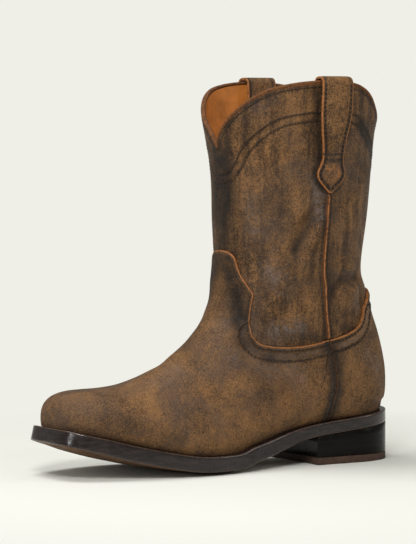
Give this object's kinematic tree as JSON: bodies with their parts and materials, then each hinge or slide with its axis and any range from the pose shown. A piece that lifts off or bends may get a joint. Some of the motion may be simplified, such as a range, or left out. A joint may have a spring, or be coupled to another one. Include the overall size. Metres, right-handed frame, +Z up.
{
  "type": "roper boot",
  "caption": "Left pull-on leather boot with a rounded-square toe, low stacked heel, stitched vamp and counter, dipped collar and pull straps.",
  "frame": {"origin": "middle of the heel's bottom face, on the floor", "axes": "+Z up, toe towards -Y, outer side of the left foot towards +X"},
  "size_m": [0.1192, 0.2923, 0.2886],
  "materials": {
    "waxed_leather": "distressed waxed brown, rubbed paler and darker in soft patches",
    "raw_edge_leather": "cut leather edge, orange tan, unfinished",
    "lining_leather": "smooth tan lining leather",
    "sole_edge": "dark brown burnished sole edge, satin",
    "heel_black": "near-black inked stacked leather, satin",
    "top_lift_rubber": "dark brown rubber, matte"
  },
  "bodies": {
    "root": {"upper": "waxed_leather", "vamp": "waxed_leather", "counter": "waxed_leather", "pull_strap_outer": "waxed_leather", "pull_strap_inner": "waxed_leather", "side_seam_outer": "raw_edge_leather", "side_seam_inner": "raw_edge_leather", "top_piping": "raw_edge_leather", "insole": "lining_leather", "welt": "sole_edge", "outsole": "sole_edge", "heel_stack": "heel_black", "top_lift": "top_lift_rubber"}
  },
  "joints": []
}
